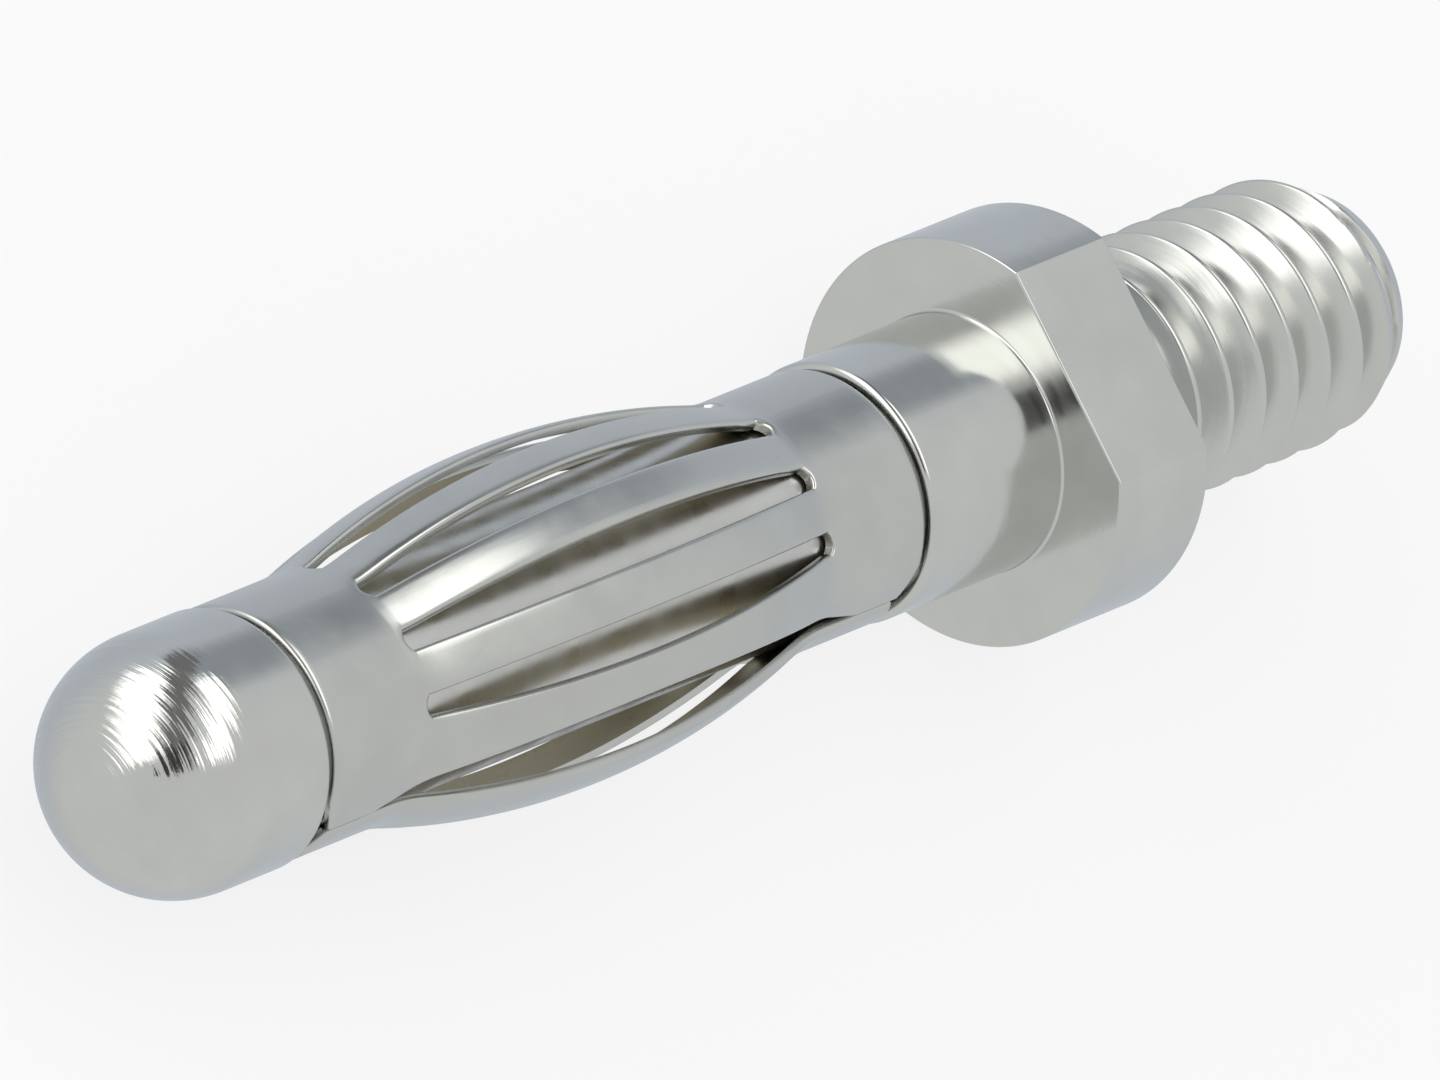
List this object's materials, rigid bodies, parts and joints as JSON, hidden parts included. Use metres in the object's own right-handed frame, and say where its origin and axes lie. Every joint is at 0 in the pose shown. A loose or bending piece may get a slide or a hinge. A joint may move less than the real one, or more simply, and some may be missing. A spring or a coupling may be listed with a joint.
{
  "type": "banana plug",
  "caption": "Nickel-plated banana plug: a turned pin with a round nose, flange with spanner flats and screw stud, carrying a slotted, bulged spring sleeve that grips a socket.",
  "frame": {"origin": "on the plug's axis, at the flange face that the stud stands on", "axes": "+X along the plug's axis from the nose to the stud, +Z square to the flange's two spanner flats, -Z down at rest"},
  "size_m": [0.0264, 0.006, 0.005],
  "materials": {
    "plug_body": "bright nickel plate over turned brass",
    "spring_sleeve": "satin nickel plate over spring brass sheet"
  },
  "bodies": {
    "plug": {"plug_body": "plug_body"},
    "sleeve": {"spring_sleeve": "spring_sleeve"}
  },
  "joints": [
    {"name": "sleeve_turn", "type": "hinge", "parent": "plug", "child": "sleeve", "pos_m": [-0.01099, 0, 0], "axis": [1, 0, 0], "continuous": true}
  ]
}
